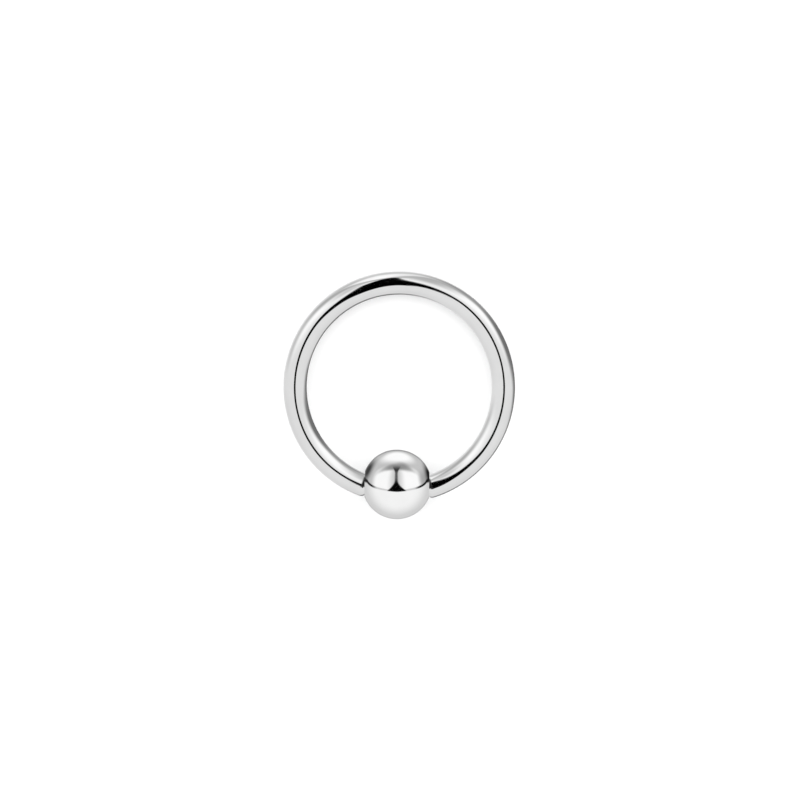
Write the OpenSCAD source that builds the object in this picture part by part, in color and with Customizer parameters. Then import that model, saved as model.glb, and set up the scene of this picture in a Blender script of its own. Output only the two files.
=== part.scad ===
// Captive bead ring: a round wire bent into an open hoop, and a ball held between its two ends.
// It lies on its side, on the ball and on the far side of the hoop.

/* [Wire] */
// Thickness of the round wire
wire_d = 1; // [0.8:0.1:1.6]
// Inner diameter of the hoop
inner_d = 8; // [6:0.5:14]
// Radius that rounds the rim of each wire end
end_round = 0.28; // [0.1:0.02:0.36]

/* [Bead] */
// Diameter of the ball
bead_d = 3; // [2.5:0.25:5]
// How far the middle of each wire end lies in from the side of the ball
end_depth = 0.3; // [0.15:0.01:0.45]
// How far the centre of the ball lies inside the line between the two wire ends
bead_rise = 0.14; // [0.05:0.01:0.25]
// Gap all round a wire end in its seat
seat_gap = 0.04; // [0.02:0.01:0.1]

/* [Hidden] */
$fn = 96;

wire_r = wire_d / 2;
bead_r = bead_d / 2;
// How far past the far side of the hoop each half of the wire runs, in degrees
half_lap = 4;
// Radius of the wire's centreline
hoop_r = (inner_d + wire_d) / 2;

// The wire is bent up to this angle from the middle of the opening.
// Its last stretch, as long as the rounding of its rim, is straight.
bend_angle = asin((bead_r - end_depth) / norm([hoop_r, end_round])) + atan(end_round / hoop_r);
// From the centre of the hoop to the centre of the ball
bead_y = hoop_r * cos(bend_angle) + end_round * sin(bend_angle) - bead_rise;

// Each seat is part of a sphere, centred where the wire's axis crosses the line that the ball
// turns about. So the wire ends lie alike in their seats however far the ball is turned.
seat_back = bead_rise / sin(bend_angle);
seat_x = bead_r - end_depth + seat_back * cos(bend_angle);
// A seat has room for the rounded wire end, and its mouth for the inner side of the bend
end_room = norm([seat_back - end_round, wire_r - end_round]) + end_round + seat_gap;
mouth_y = (pow(bead_r, 2) + pow(bead_y, 2) - pow(inner_d / 2 - seat_gap, 2)) / (2 * bead_y);
mouth_room = norm([sqrt(pow(bead_r, 2) - pow(mouth_y, 2)) - seat_x, mouth_y]);
seat_r = max(end_room, mouth_room);

// The ball is thicker than the wire, so the hoop lies at this angle to the surface.
lie_angle = asin((bead_r - wire_r) / (hoop_r + bead_y));
hoop_z = wire_r + hoop_r * sin(lie_angle);
// Places the hoop so that the origin is under the middle of the whole ring
hoop_shift = (bead_r - wire_r - (hoop_r - bead_y) * cos(lie_angle)) / 2;

// Lays down what is drawn about the centre of the hoop, with the ball towards -Y
module as_it_lies() {
    translate([0, hoop_shift, hoop_z])
        rotate([-lie_angle, 0, 0])
            children();
}

// The straight last stretch of the wire, with its rounded rim, standing on the joint with the bend
module wire_end() {
    flat_r = wire_r - end_round;
    rotate_extrude() {
        square([flat_r, end_round]);
        intersection() {
            translate([flat_r, 0])
                circle(r = end_round);
            square([wire_r, end_round]);
        }
    }
}

// One half of the wire: the bend is part of a torus, and runs on a little past the far side,
// into the other half
module half_wire() {
    rotate([0, 0, bend_angle - 90]) {
        rotate_extrude(angle = 180 - bend_angle + half_lap)
            translate([hoop_r, 0])
                circle(d = wire_d);
        translate([hoop_r, 0, 0])
            rotate([90, 0, 0])
                wire_end();
    }
}

module wire_ring() {
    color([0.78, 0.79, 0.8])
        as_it_lies() {
            half_wire();
            mirror([1, 0, 0])
                half_wire();
        }
}

// The ball's half section beside the line that it turns about
module bead_section() {
    intersection() {
        difference() {
            circle(r = bead_r);
            for (side = [-1, 1])
                translate([0, side * seat_x])
                    circle(r = seat_r);
        }
        translate([0, -bead_r])
            square([bead_r, bead_d]);
    }
}

module captive_bead() {
    color([0.84, 0.85, 0.86])
        as_it_lies()
            translate([0, -bead_y, 0])
                rotate([0, 90, 0])
                    rotate_extrude()
                        bead_section();
}

wire_ring();
captive_bead();
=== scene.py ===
from collections import namedtuple
from math import asin, atan, cos, degrees, exp, hypot, pi, radians, sin, sqrt

import bmesh
import bpy
from mathutils import Matrix, Vector


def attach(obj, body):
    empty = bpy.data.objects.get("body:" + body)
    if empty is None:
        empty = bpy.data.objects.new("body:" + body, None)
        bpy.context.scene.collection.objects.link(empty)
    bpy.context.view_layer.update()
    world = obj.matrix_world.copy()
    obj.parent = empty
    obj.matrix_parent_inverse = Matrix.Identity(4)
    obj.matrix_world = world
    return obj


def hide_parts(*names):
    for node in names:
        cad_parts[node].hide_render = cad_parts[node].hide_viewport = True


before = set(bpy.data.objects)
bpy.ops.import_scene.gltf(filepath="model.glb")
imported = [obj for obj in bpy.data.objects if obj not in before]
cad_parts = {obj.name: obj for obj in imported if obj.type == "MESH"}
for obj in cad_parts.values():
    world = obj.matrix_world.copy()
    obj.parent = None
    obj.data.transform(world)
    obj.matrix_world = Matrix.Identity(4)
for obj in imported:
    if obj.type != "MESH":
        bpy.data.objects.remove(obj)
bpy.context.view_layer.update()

MM = 0.001

# Sizes, as in the part's source
WIRE_R = 0.5 * MM
HOOP_R = 4.5 * MM
END_ROUND = 0.28 * MM
BEAD_R = 1.5 * MM
END_DEPTH = 0.3 * MM
BEAD_RISE = 0.14 * MM
SEAT_GAP = 0.04 * MM
# Radius that eases the edge of each seat
MOUTH_EASE = 0.02 * MM

BEND_ANGLE = asin((BEAD_R - END_DEPTH) / hypot(HOOP_R, END_ROUND)) + atan(END_ROUND / HOOP_R)
BEAD_Y = HOOP_R * cos(BEND_ANGLE) + END_ROUND * sin(BEND_ANGLE) - BEAD_RISE
SEAT_BACK = BEAD_RISE / sin(BEND_ANGLE)
SEAT_X = BEAD_R - END_DEPTH + SEAT_BACK * cos(BEND_ANGLE)
END_ROOM = hypot(SEAT_BACK - END_ROUND, WIRE_R - END_ROUND) + END_ROUND + SEAT_GAP
MOUTH_Y = (BEAD_R**2 + BEAD_Y**2 - (HOOP_R - WIRE_R - SEAT_GAP) ** 2) / (2 * BEAD_Y)
MOUTH_ROOM = hypot(sqrt(BEAD_R**2 - MOUTH_Y**2) - SEAT_X, MOUTH_Y)
SEAT_R = max(END_ROOM, MOUTH_ROOM)
MOUTH_X = (BEAD_R**2 - SEAT_R**2 + SEAT_X**2) / (2 * SEAT_X)
MOUTH_R = sqrt(BEAD_R**2 - MOUTH_X**2)
LIE_ANGLE = asin((BEAD_R - WIRE_R) / (HOOP_R + BEAD_Y))
HOOP_SHIFT = (BEAD_R - WIRE_R - (HOOP_R - BEAD_Y) * cos(LIE_ANGLE)) / 2
HOOP_CENTRE = Vector((0, HOOP_SHIFT, WIRE_R + HOOP_R * sin(LIE_ANGLE)))

# The hoop's own directions as it lies: across the opening, away from the ball, square to the hoop
ACROSS = Vector((1, 0, 0))
AWAY = Vector((0, cos(LIE_ANGLE), -sin(LIE_ANGLE)))
SQUARE = Vector((0, sin(LIE_ANGLE), cos(LIE_ANGLE)))

# How far the wire's highest line leans outward, in degrees, on the far side and beside the ball
FAR_LEAN = 1.5
NEAR_LEAN = 5.5
# Where it leans less: degrees from the ball, half width in degrees, and by how many degrees
LEAN_DIPS = (
    (30, 20, 4.2),
    (162, 14, 1.6),
    (209, 18, 3),
    (257, 38, 1.8),
    (338, 14, 1.5),
)

# Mesh fineness
AROUND_WIRE = 96
ALONG_WIRE = 560
AROUND_BEAD = 192
ALONG_BALL = 64
ALONG_SEAT = 24
ON_ROUNDING = 12
# Radii of the loops on a wire end's flat face, as shares of its own
FACE_LOOPS = (0.35, 0.7)

# The photo's framing, in pixels of its width
PHOTO_WIDTH = 800
PIXELS_PER_MM = 23.14
HOOP_PIXEL_X = 399.25
HOOP_PIXEL_Y = 387.1
HOOP_TURN = radians(1.385)
LENS = 150
# The camera sees from its distance divided by this to its distance times this
CLIP_RANGE = 100

# The photo's own directions in the frame: to its right, up, and out of it to the camera
PHOTO_RIGHT = ACROSS * cos(HOOP_TURN) + AWAY * sin(HOOP_TURN)
PHOTO_UP = AWAY * cos(HOOP_TURN) - ACROSS * sin(HOOP_TURN)
PHOTO_OUT = SQUARE

# The stage, with a round studio for each piece
FLOOR_HALF = 500 * MM
FLOOR_GREY = 0.92
HOOP_STUDIO_R = 240 * MM
BALL_STUDIO_R = 250 * MM
# Strength of the soft light on the floor, and how much stronger it is from straight beyond the hoop
SOFT_LIGHT = 1.6
SOFT_LIGHT_BEYOND = 0.7

# Polished steel: the fineness of its clouds, and the range of its tone and roughness in them
CLOUD_SCALE = 900
CLOUD_DETAIL = 3
STEEL_TONES = (0.9, 1)
STEEL_ROUGHNESS = (0.03, 0.09)
# Steel at the wire ends and in the seats, where the wire meets the ball: painted shade, nearly black,
# and a duller polish where it is cut or drilled. The roughness follows this power of how much of that
# mask it is.
PAINTED_SEAT_SHADE_TONE = 0.03
CUT_ROUGHNESS = 0.4
CUT_POWER = 4

# An oval of one grey in a studio. Turn and lean say where it is, half_turn and half_lean how large,
# all in degrees. Its edge is soft by the share soft of its size.
Patch = namedtuple("Patch", "grey turn lean half_turn half_lean soft")

HOOP_PATCHES = (
    Patch(0.72, 75, 63, 13, 25, 0.9),
    Patch(0.8, 118, 50, 9, 17, 0.9),
    Patch(0.7, 116, 114, 9, 16, 0.9),
    Patch(0.78, 88, 122, 32, 22, 0.8),
    Patch(0.55, 58, 126, 16, 19, 0.8),
    Patch(0.55, 1, 127, 16, 17, 0.8),
    Patch(0.45, 24, 114, 17, 36, 0.6),
)
BALL_PATCHES = (
    Patch(1.01, 89, 109, 32, 27, 0.45),
    Patch(0.58, 71, 68, 18, 11, 0.95),
    Patch(0.58, 108, 65, 14, 8, 0.95),
    Patch(0.66, 10, 108, 15, 21, 0.8),
)
# The hoop's dark ends, as the ball mirrors them
HOOP_ENDS = (
    Patch(0.1, 12, 146, 20, 26, 0.6),
    Patch(0.25, 155, 136, 19, 24, 0.7),
)
# Where the dark spot over the hoop is wider: by how many degrees, at which turn, and how far round
SPOT_BULGES = (
    (1, 145, 20),
    (1, -145, 15),
    (1.7, 124, 12),
    (2.2, -35, 25),
)


def lying(point):
    """Places a point given across, away from the ball and square to the hoop."""
    return HOOP_CENTRE + ACROSS * point[0] + AWAY * point[1] + SQUARE * point[2]


BEAD_CENTRE = lying((0, -BEAD_Y, 0))


def circle(centre, first, second, radius, count):
    """Points on a circle, from the first direction towards the second."""
    turns = [2 * pi * i / count for i in range(count)]
    return [centre + (first * cos(t) + second * sin(t)) * radius for t in turns]


def skin(name, start, loops, end):
    """A smooth closed mesh from one point, through loops of points, to another point."""
    count = len(loops[0])
    points = [p for loop in loops for p in loop] + [start, end]
    last = len(points) - 2 - count
    faces = []
    for i in range(count):
        j = (i + 1) % count
        faces.append((len(points) - 2, i, j))
        faces.append((len(points) - 1, last + j, last + i))
        for row in range(0, last, count):
            faces.append((row + i, row + count + i, row + count + j, row + j))
    mesh = bpy.data.meshes.new(name)
    mesh.from_pydata([lying(p) for p in points], [], faces)
    mesh.shade_smooth()
    piece = bpy.data.objects.new(name, mesh)
    bpy.context.scene.collection.objects.link(piece)
    return piece


def ridge_lean(angle):
    """How far the wire's highest line leans outward, in degrees, at an angle from the ball."""
    turn = degrees(angle)
    lean = FAR_LEAN + (NEAR_LEAN - FAR_LEAN) * (1 + cos(angle)) / 2
    for place, width, drop in LEAN_DIPS:
        lean -= drop * exp(-(((turn - place) / width) ** 4))
    return lean


def outward(angle):
    """The direction from the hoop's centre at an angle from the ball."""
    return Vector((sin(angle), -cos(angle), 0))


def wire_middle(angle, past):
    """A point on the wire's centreline, at an angle from the ball and past the bend by a distance."""
    forward = Vector((cos(angle), sin(angle), 0))
    return outward(angle) * HOOP_R + forward * past


def wire_loop(angle, past, radius):
    """A circle round the wire, pulled outward where its highest line leans."""
    radial = outward(angle)
    loop = circle(wire_middle(angle, past), radial, Vector((0, 0, 1)), radius, AROUND_WIRE)
    pull = radius * sin(radians(ridge_lean(angle)))
    return [p + radial * (pull * (p.z / radius) ** 2) for p in loop]


def wire_end(angle, side):
    """The middle of a wire end, and the loops from there to where the bend starts."""
    flat_r = WIRE_R - END_ROUND
    loops = [wire_loop(angle, side * END_ROUND, flat_r * share) for share in FACE_LOOPS]
    for step in range(ON_ROUNDING):
        turn = pi / 2 * (1 - step / ON_ROUNDING)
        loops.append(wire_loop(angle, side * END_ROUND * sin(turn), flat_r + END_ROUND * cos(turn)))
    return wire_middle(angle, side * END_ROUND), loops


def make_ring():
    sweep = 2 * (pi - BEND_ANGLE)
    angles = [BEND_ANGLE + sweep * i / ALONG_WIRE for i in range(ALONG_WIRE + 1)]
    bend = [wire_loop(angle, 0, WIRE_R) for angle in angles]
    first, first_loops = wire_end(angles[0], -1)
    last, last_loops = wire_end(angles[-1], 1)
    return skin("steel_ring", first, first_loops + bend + last_loops[::-1], last)


def arc(centre_x, centre_y, radius, start, end, steps):
    """Points on an arc from a start angle, up to but not at an end angle."""
    turns = [start + (end - start) * i / steps for i in range(steps)]
    return [(centre_x + radius * cos(t), centre_y + radius * sin(t)) for t in turns]


def bead_side():
    """A quarter of the ball's outline as (along its axis, out from its axis), from a seat's middle."""
    # An arc eases the seat's mouth. It touches the ball from inside and the seat from outside.
    from_ball = BEAD_R - MOUTH_EASE
    from_seat = SEAT_R + MOUTH_EASE
    ease_x = (from_ball**2 - from_seat**2 + SEAT_X**2) / (2 * SEAT_X)
    ball_turn = (pi / 2) - asin(ease_x / from_ball)
    ease_y = from_ball * sin(ball_turn)
    seat_turn = asin(ease_y / from_seat)
    seat = arc(SEAT_X, 0, SEAT_R, pi, pi - seat_turn, ALONG_SEAT)
    mouth = arc(ease_x, ease_y, MOUTH_EASE, -seat_turn, ball_turn, ON_ROUNDING)
    ball = arc(0, 0, BEAD_R, ball_turn, pi / 2, ALONG_BALL)
    return seat + mouth + ball


def make_bead():
    side = bead_side()
    outline = side + [(0, BEAD_R)] + [(-x, r) for x, r in side[::-1]]
    middle = Vector((0, -BEAD_Y, 0))
    y, z = Vector((0, 1, 0)), Vector((0, 0, 1))
    loops = [circle(middle + Vector((x, 0, 0)), y, z, r, AROUND_BEAD) for x, r in outline[1:-1]]
    seat_floor = Vector((outline[0][0], 0, 0))
    return skin("steel_bead", middle + seat_floor, loops, middle - seat_floor)


class Maths:
    """Builds the sums of one node tree, where each result is a socket."""

    def __init__(self, tree):
        self.tree = tree

    def node(self, kind, **settings):
        node = self.tree.nodes.new(kind)
        for name, value in settings.items():
            setattr(node, name, value)
        return node

    def feed(self, socket, value):
        if isinstance(value, bpy.types.NodeSocket):
            self.tree.links.new(value, socket)
        else:
            socket.default_value = value

    def do(self, operation, *values):
        node = self.node("ShaderNodeMath", operation=operation)
        for socket, value in zip(node.inputs, values):
            self.feed(socket, value)
        return node.outputs[0]

    def plus(self, first, second):
        return self.do("ADD", first, second)

    def minus(self, first, second):
        return self.do("SUBTRACT", first, second)

    def times(self, first, second):
        return self.do("MULTIPLY", first, second)

    def over(self, first, second):
        return self.do("DIVIDE", first, second)

    def power(self, value, exponent):
        return self.do("POWER", value, exponent)

    def size(self, value):
        return self.do("ABSOLUTE", value)

    def at_least_0(self, value):
        return self.do("MAXIMUM", value, 0)

    def length(self, first, second):
        """How far a point is from the origin, from its two distances along square axes."""
        return self.do("SQRT", self.plus(self.times(first, first), self.times(second, second)))

    def dot(self, vector, direction):
        node = self.node("ShaderNodeVectorMath", operation="DOT_PRODUCT")
        self.feed(node.inputs[0], vector)
        self.feed(node.inputs[1], direction)
        return node.outputs["Value"]

    def step(self, value, start, end):
        """0 up to the start and 1 from the end, and smooth between them."""
        node = self.node("ShaderNodeMapRange", interpolation_type="SMOOTHSTEP")
        for name, given in (("Value", value), ("From Min", start), ("From Max", end)):
            self.feed(node.inputs[name], given)
        return node.outputs["Result"]

    def window(self, value, start, full, fading, end):
        """1 from full to fading, and 0 up to the start and from the end."""
        return self.times(self.step(value, start, full), self.step(value, end, fading))

    def bump(self, value, centre, width):
        """1 at the centre, falling smoothly to 0 on both sides."""
        off = self.over(self.minus(value, centre), width)
        return self.do("EXPONENT", self.times(self.times(off, off), -1))

    def mix(self, low, high, share):
        node = self.node("ShaderNodeMix", data_type="FLOAT")
        for place, value in ((0, share), (2, low), (3, high)):
            self.feed(node.inputs[place], value)
        return node.outputs[0]

    def grey(self, value):
        """A colour of this value in red, green and blue."""
        node = self.node("ShaderNodeCombineColor")
        for socket in node.inputs:
            self.feed(socket, value)
        return node.outputs[0]


def shown(grey):
    """The light that a screen shows as this grey, from 0 to 1, by its standard curve."""
    return ((grey + 0.055) / 1.055) ** 2.4 if grey > 0.04 else grey / 12.92


class Sight:
    """The direction that a place in a studio lies in, in degrees as the photo's camera sees it."""

    def __init__(self, m, towards):
        right, up, out = (m.dot(towards, d) for d in (PHOTO_RIGHT, PHOTO_UP, PHOTO_OUT))
        self.m = m
        self.height = m.do("DEGREES", m.do("ARCSINE", up))
        self.bearing = m.do("DEGREES", m.do("ARCTAN2", right, out))
        self.lean = m.do("DEGREES", m.do("ARCCOSINE", out))
        self.turn = m.do("DEGREES", m.do("ARCTAN2", up, right))

    def inside(self, patch):
        """1 in a patch and 0 outside it."""
        m = self.m
        across = m.over(m.minus(self.turn, patch.turn), patch.half_turn)
        down = m.over(m.minus(self.lean, patch.lean), patch.half_lean)
        return m.step(m.length(across, down), 1 + patch.soft, 1 - patch.soft)

    def add_patches(self, light, patches, share=1):
        """Lays patches over a light, each by a share that may differ from place to place."""
        m = self.m
        for patch in patches:
            light = m.mix(light, shown(patch.grey), m.times(share, self.inside(patch)))
        return light


def hoop_room(m, sight):
    """Bright lights above, and a little less light from below and behind."""
    bright_heights = (6, 34)
    behind_leans = (45, 120)
    below_heights = (10, -10)
    level, bright, dim = shown(0.89), shown(1.01), shown(0.86)
    light = m.mix(level, bright, m.step(sight.height, *bright_heights))
    below = m.times(m.step(sight.lean, *behind_leans), m.step(sight.height, *below_heights))
    return m.mix(light, dim, below)


def hoop_arch_line(m, sight, from_middle):
    """The lean where the arch's line lies: least in its middle, with a shoulder on both sides."""
    middle_lean = 50
    slope = 0.08
    shoulder, shoulder_width = 53, 25
    right_drop, drop_turns = 8, (62, 36)
    line = m.plus(middle_lean, m.times(from_middle, slope))
    line = m.plus(line, m.times(m.minus(1, m.bump(from_middle, 0, shoulder_width)), shoulder))
    return m.plus(line, m.mix(0, right_drop, m.step(sight.turn, *drop_turns)))


def hoop_arch(m, sight, light):
    """Adds the grey arch, and the overhead light inside its left side."""
    middle_turn = 98
    overhead_edge, overhead_turns = (0, 20), (100, 125, 150, 170)
    half_widths, widening = (12, 42), (5, 34)
    band_edge, band_turns = (1, 0.1), (-12, 25, 158, 179)
    right, middle, left = shown(0.6), shown(0.68), shown(0.77)
    right_to_middle, middle_to_left = (35, 65), (130, 150)
    from_middle = m.size(m.minus(sight.turn, middle_turn))
    past = m.minus(sight.lean, hoop_arch_line(m, sight, from_middle))
    overhead = m.times(m.step(past, *overhead_edge), m.window(sight.turn, *overhead_turns))
    light = m.mix(light, shown(0.9), overhead)

    half_width = m.mix(*half_widths, m.step(from_middle, *widening))
    band = m.step(m.over(m.size(past), half_width), *band_edge)
    grey = m.mix(right, middle, m.step(sight.turn, *right_to_middle))
    grey = m.mix(grey, left, m.step(sight.turn, *middle_to_left))
    return m.mix(light, grey, m.times(band, m.window(sight.turn, *band_turns)))


def hoop_rim(m, sight, light):
    """Adds a rim of grey far behind the hoop, darkest to the lower right."""
    darkest_turn = -28
    fading = (54, 104)
    leans = (122, 146)
    dark, pale = shown(0.38), shown(0.88)
    aside = m.step(m.size(m.minus(sight.turn, darkest_turn)), *fading)
    return m.mix(light, m.mix(dark, pale, aside), m.step(sight.lean, *leans))


def hoop_bar_sides(m, sight):
    """1 between the sides of the dark bar, which leans: up to the left and down to the right."""
    soft = 1.4
    right_side, right_foot, foot_height, right_slope = 4.2, 9, 8, 0.08
    right_notch, notch_height, notch_width = 0.7, 7.5, 4
    left_side, left_slope = 3.7, 0.34
    left_bulge, bulge_depth, bulge_width = 2.4, 13, 4.2
    high = m.at_least_0(sight.height)
    low = m.at_least_0(m.times(sight.height, -1))
    foot = m.minus(1, m.do("EXPONENT", m.over(low, -foot_height)))
    right = m.minus(m.plus(right_side, m.times(right_foot, foot)), m.times(high, right_slope))
    right = m.minus(right, m.times(right_notch, m.bump(high, notch_height, notch_width)))
    bulge = m.times(left_bulge, m.bump(low, bulge_depth, bulge_width))
    left = m.plus(m.plus(left_side, bulge), m.times(high, left_slope))
    past_left = m.minus(m.times(sight.bearing, -1), left)
    past_right = m.minus(sight.bearing, right)
    return m.step(m.do("MAXIMUM", past_left, past_right), soft, -soft)


def hoop_bar(m, sight):
    """1 in the dark bar, which has a round top and a straight lower end."""
    top_bearing, top_half, top_start, top_rise = -5, 10.5, 20, 31
    top_edge = (3, -1)
    low_edge = (-29.5, -25.5)
    aside = m.over(m.minus(sight.bearing, top_bearing), top_half)
    dome = m.do("SQRT", m.at_least_0(m.minus(1, m.power(aside, 2))))
    top = m.plus(top_start, m.times(top_rise, dome))
    bar = m.times(hoop_bar_sides(m, sight), m.step(m.minus(sight.height, top), *top_edge))
    return m.times(bar, m.step(sight.height, *low_edge))


def hoop_spot(m, sight):
    """1 in the dark spot straight over the hoop."""
    edge = (10, 7)
    wider = 0
    for bulge, turn, width in SPOT_BULGES:
        wider = m.plus(wider, m.times(bulge, m.bump(sight.turn, turn, width)))
    return m.step(m.minus(sight.lean, wider), *edge)


def hoop_light(m, sight):
    """What the hoop mirrors: lights, a grey arch and rim, a dark bar that leans, and a dark spot."""
    light = hoop_arch(m, sight, hoop_room(m, sight))
    light = sight.add_patches(light, HOOP_PATCHES)
    light = hoop_rim(m, sight, light)
    light = m.mix(light, 0, hoop_bar(m, sight))
    return m.mix(light, 0, hoop_spot(m, sight))


def ball_room(m, sight, from_bar):
    """Lights to both sides, greyer near the bar and behind the ball."""
    bar_fading = (3, 36)
    behind_bearings = (72, 100)
    beside_bar, bright, behind = shown(0.8), 1, shown(0.77)
    light = m.mix(beside_bar, bright, m.step(from_bar, *bar_fading))
    return m.mix(light, behind, m.step(m.size(sight.bearing), *behind_bearings))


def ball_arch(m, sight, light):
    """Adds an arch that droops to the sides, with a dark gap under its line and grey above it."""
    top_height, droop, droop_bearing, droop_power = 58.5, 20, 73, 2.5
    least_height = 15
    gap_edge, gap_bearings, dark_bearings = (-14, 0), (96, 56), (54, 6)
    above_edge = (3, 18)
    side_gap, middle_gap, above = shown(0.71), shown(0.4), shown(0.78)
    aside = m.size(sight.bearing)
    drooped = m.times(droop, m.power(m.over(aside, droop_bearing), droop_power))
    top = m.do("MAXIMUM", m.minus(top_height, drooped), least_height)
    over = m.minus(sight.height, top)
    gap = m.times(m.step(over, *gap_edge), m.step(aside, *gap_bearings))
    gap_grey = m.mix(side_gap, middle_gap, m.step(aside, *dark_bearings))
    light = m.mix(light, gap_grey, gap)
    return m.mix(light, above, m.step(over, *above_edge))


def ball_bar(m, sight, from_bar, light):
    """Adds the dark bar, which widens to a foot and a head, and is hazy in its middle."""
    half_width, soft = 5.2, 3
    foot_half, foot_from, foot_height = 33, 15, 37
    head_half, head_from, head_height = 9, 36, 18
    haze_heights = (5, 22, 38, 54)
    head_edge, top_edge = (44, 52), (68, 50)
    dark, haze, head = shown(0.02), shown(0.36), shown(0.22)
    below = m.over(m.at_least_0(m.minus(foot_from, sight.height)), foot_height)
    above = m.over(m.at_least_0(m.minus(sight.height, head_from)), head_height)
    ends = m.plus(m.times(foot_half, m.power(below, 2)), m.times(head_half, m.power(above, 2)))
    bar = m.step(m.minus(from_bar, m.plus(half_width, ends)), soft, -soft)
    grey = m.mix(dark, haze, m.window(sight.height, *haze_heights))
    grey = m.mix(grey, head, m.step(sight.height, *head_edge))
    return m.mix(light, grey, m.times(bar, m.step(sight.height, *top_edge)))


def past_table(m, sight):
    """How far above the table's edge a direction is. The edge curves up to both sides."""
    edge_depth = 23.3
    side_rise, side_bearing, last_bearing, rise_power = 26, 120, 118, 1.5
    aside = m.do("MINIMUM", m.size(sight.bearing), last_bearing)
    rise = m.times(side_rise, m.power(m.over(aside, side_bearing), rise_power))
    return m.plus(edge_depth, m.minus(sight.height, rise))


def ball_table(m, sight, light, past_edge, over_table):
    """Adds the pale table, and the dark line behind its edge that is stronger to the sides."""
    line_edge = (7, 4)
    middle_share, line_bearings, right_extra = 0.35, (62, 88), 0.07
    table_leans = (70, 135)
    near, far = shown(0.975), shown(0.83)
    sideways = m.plus(m.size(sight.bearing), m.times(sight.bearing, right_extra))
    strength = m.mix(middle_share, 1, m.step(sideways, *line_bearings))
    light = m.mix(light, 0, m.times(m.step(past_edge, *line_edge), strength))
    table = m.mix(near, far, m.step(sight.lean, *table_leans))
    return m.mix(table, light, over_table)


def ball_rim(m, sight, light):
    """Adds a rim of grey far behind the ball, darker above than below."""
    leans = (142, 162)
    heights = (0, 10)
    low, high = shown(0.75), shown(0.57)
    grey = m.mix(low, high, m.step(sight.height, *heights))
    return m.mix(light, grey, m.step(sight.lean, *leans))


def ball_light(m, sight):
    """What the ball mirrors: lights, an arch, a dark bar, a table, and the hoop's dark ends."""
    bar_shift, shift_heights = 2, (-24, -2)
    table_edge = (-1.5, 1.5)
    shift = m.mix(0, bar_shift, m.step(sight.height, *shift_heights))
    from_bar = m.size(m.plus(sight.bearing, shift))
    past_edge = past_table(m, sight)
    over_table = m.step(past_edge, *table_edge)
    light = ball_arch(m, sight, ball_room(m, sight, from_bar))
    light = sight.add_patches(light, BALL_PATCHES)
    light = ball_bar(m, sight, from_bar, light)
    light = ball_table(m, sight, light, past_edge, over_table)
    light = ball_rim(m, sight, light)
    return sight.add_patches(light, HOOP_ENDS, over_table)


def studio_glow(name, light_of):
    """A material that adds a studio's light by direction and lets other light through."""
    material = bpy.data.materials.new(name)
    material.use_nodes = True
    material.cycles.emission_sampling = "NONE"
    tree = material.node_tree
    tree.nodes.remove(tree.nodes["Principled BSDF"])
    m = Maths(tree)
    towards = m.node("ShaderNodeVectorMath", operation="NORMALIZE")
    m.feed(towards.inputs[0], m.node("ShaderNodeTexCoord").outputs["Object"])
    glow = m.node("ShaderNodeEmission")
    m.feed(glow.inputs["Color"], light_of(m, Sight(m, towards.outputs[0])))
    both = m.node("ShaderNodeAddShader")
    m.feed(both.inputs[0], glow.outputs[0])
    m.feed(both.inputs[1], m.node("ShaderNodeBsdfTransparent").outputs[0])
    m.feed(tree.nodes["Material Output"].inputs["Surface"], both.outputs[0])
    return material


def mirrored_studio(name, piece, centre, radius, light_of):
    """A ball round everything, which only this piece mirrors and nothing else sees."""
    mesh = bpy.data.meshes.new(name)
    shape = bmesh.new()
    bmesh.ops.create_icosphere(shape, subdivisions=4, radius=radius)
    shape.to_mesh(mesh)
    shape.free()
    mesh.materials.append(studio_glow(name, light_of))
    studio = bpy.data.objects.new(name, mesh)
    studio.location = centre
    bpy.context.scene.collection.objects.link(studio)
    studio.visible_camera = False
    studio.visible_diffuse = False
    studio.visible_shadow = False
    seen_by = bpy.data.collections.new(name)
    seen_by.objects.link(piece)
    studio.light_linking.receiver_collection = seen_by


def light_world():
    """Soft light on the floor, stronger from beyond the hoop, which the steel doesn't mirror."""
    world = bpy.data.worlds.new("studio")
    bpy.context.scene.world = world
    world.use_nodes = True
    world.cycles.sampling_method = "NONE"
    m = Maths(world.node_tree)
    background = world.node_tree.nodes["Background"]
    mirrored = m.node("ShaderNodeLightPath").outputs["Is Glossy Ray"]
    towards = m.node("ShaderNodeTexCoord").outputs["Generated"]
    strength = m.plus(SOFT_LIGHT, m.times(SOFT_LIGHT_BEYOND, m.dot(towards, AWAY)))
    m.feed(background.inputs["Strength"], m.mix(strength, 0, mirrored))
    m.feed(background.inputs["Color"], (1, 1, 1, 1))


def steel(name, painted_shade_and_dull_share):
    """Polished steel, slightly uneven in tone and polish, with painted shade and a duller polish where
    the wire meets the ball.
    """
    material = bpy.data.materials.new(name)
    material.use_nodes = True
    m = Maths(material.node_tree)
    shader = material.node_tree.nodes["Principled BSDF"]
    place = m.node("ShaderNodeTexCoord").outputs["Object"]
    clouds = m.node("ShaderNodeTexNoise")
    m.feed(clouds.inputs["Vector"], place)
    m.feed(clouds.inputs["Scale"], CLOUD_SCALE)
    m.feed(clouds.inputs["Detail"], CLOUD_DETAIL)
    shade_and_dull = painted_shade_and_dull_share(m, place)
    tone = m.mix(*STEEL_TONES, clouds.outputs["Fac"])
    polish = m.mix(*STEEL_ROUGHNESS, clouds.outputs["Fac"])
    rough = m.power(shade_and_dull, CUT_POWER)
    # Painted shade: nearly black where the wire ends meet the ball's seats
    m.feed(shader.inputs["Base Color"], m.grey(m.mix(tone, PAINTED_SEAT_SHADE_TONE, shade_and_dull)))
    m.feed(shader.inputs["Metallic"], 1)
    m.feed(shader.inputs["Roughness"], m.mix(polish, CUT_ROUGHNESS, rough))
    return material


def along(m, place, centre, direction):
    """How far a place lies from a centre in a direction, in millimetres."""
    return m.times(m.minus(m.dot(place, direction), centre.dot(direction)), 1 / MM)


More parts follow.
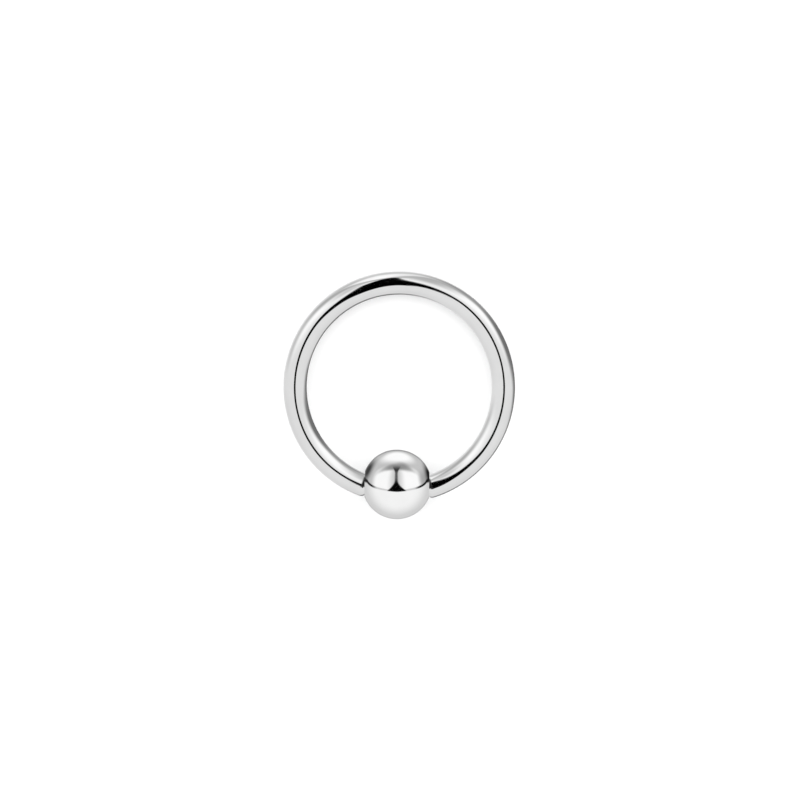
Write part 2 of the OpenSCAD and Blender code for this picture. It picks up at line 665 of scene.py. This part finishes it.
def wire_end_shade_and_dull(m, place):
    """Painted shade and dull polish: 1 on the top and bottom of the wire ends by their seats, and 0 on
    the rest of the wire.
    """
    # In millimetres: how far it reaches up the bend, with a soft end, and where it is across the wire
    reach, soft = 0.07, 0.04
    middle_level, side_edges = 0.13, (0.26, 0.18)
    middle = lying((0, -HOOP_R * cos(BEND_ANGLE), 0))
    aside = m.size(along(m, place, middle, ACROSS))
    level = along(m, place, middle, AWAY)
    up_wire = m.plus(m.times(aside, cos(BEND_ANGLE)), m.times(level, sin(BEND_ANGLE)))
    end = reach + HOOP_R * sin(BEND_ANGLE) * cos(BEND_ANGLE) / MM
    inside = m.step(up_wire, end + soft, end - soft)
    return m.times(inside, m.step(m.size(m.minus(level, middle_level)), *side_edges))


def bead_seat_shade_and_dull(m, place):
    """Painted shade and dull polish: 1 in the two seats, and 0 on the rest of the ball."""
    # In millimetres: a mouth's soft edge outside and inside it, and where the seats begin
    outside, inside = 0.02, 0.01
    seats_from = (0.4, 0.5)
    mouth = MOUTH_R / MM
    first = along(m, place, BEAD_CENTRE, AWAY)
    second = along(m, place, BEAD_CENTRE, SQUARE)
    in_mouth = m.step(m.length(first, second), mouth + outside, mouth - inside)
    aside = m.size(along(m, place, BEAD_CENTRE, ACROSS))
    return m.times(in_mouth, m.step(aside, *seats_from))


def make_floor():
    half = FLOOR_HALF
    mesh = bpy.data.meshes.new("floor")
    corners = [(-half, -half, 0), (half, -half, 0), (half, half, 0), (-half, half, 0)]
    mesh.from_pydata(corners, [], [(0, 1, 2, 3)])
    floor = bpy.data.objects.new("floor", mesh)
    bpy.context.scene.collection.objects.link(floor)
    material = bpy.data.materials.new("floor")
    material.use_nodes = True
    shader = material.node_tree.nodes["Principled BSDF"]
    shader.inputs["Base Color"].default_value = (FLOOR_GREY, FLOOR_GREY, FLOOR_GREY, 1)
    shader.inputs["Roughness"].default_value = 1
    shader.inputs["Specular IOR Level"].default_value = 0
    mesh.materials.append(material)
    floor.visible_glossy = False


def make_camera():
    width = PHOTO_WIDTH / PIXELS_PER_MM * MM
    pixel = MM / PIXELS_PER_MM
    middle = PHOTO_WIDTH / 2
    aim = HOOP_CENTRE + PHOTO_RIGHT * (middle - HOOP_PIXEL_X) * pixel
    aim += PHOTO_UP * (HOOP_PIXEL_Y - middle) * pixel
    data = bpy.data.cameras.new("camera")
    data.lens = LENS
    distance = width * data.lens / data.sensor_width
    data.clip_start = distance / CLIP_RANGE
    data.clip_end = distance * CLIP_RANGE
    camera = bpy.data.objects.new("camera", data)
    turn = Matrix((PHOTO_RIGHT, PHOTO_UP, PHOTO_OUT)).transposed()
    camera.matrix_world = Matrix.Translation(aim + PHOTO_OUT * distance) @ turn.to_4x4()
    bpy.context.scene.collection.objects.link(camera)
    bpy.context.scene.camera = camera


def dress():
    ring = make_ring()
    bead = make_bead()
    ring.data.materials.append(steel("wire_steel", wire_end_shade_and_dull))
    bead.data.materials.append(steel("bead_steel", bead_seat_shade_and_dull))
    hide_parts("wire_ring")
    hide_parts("captive_bead")
    ring.visible_glossy = False
    bead.visible_glossy = False
    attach(ring, "ring")
    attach(bead, "bead")
    mirrored_studio("hoop_studio", ring, HOOP_CENTRE, HOOP_STUDIO_R, hoop_light)
    mirrored_studio("ball_studio", bead, BEAD_CENTRE, BALL_STUDIO_R, ball_light)


bpy.context.scene.view_settings.view_transform = "Standard"
make_camera()
light_world()
make_floor()
dress()
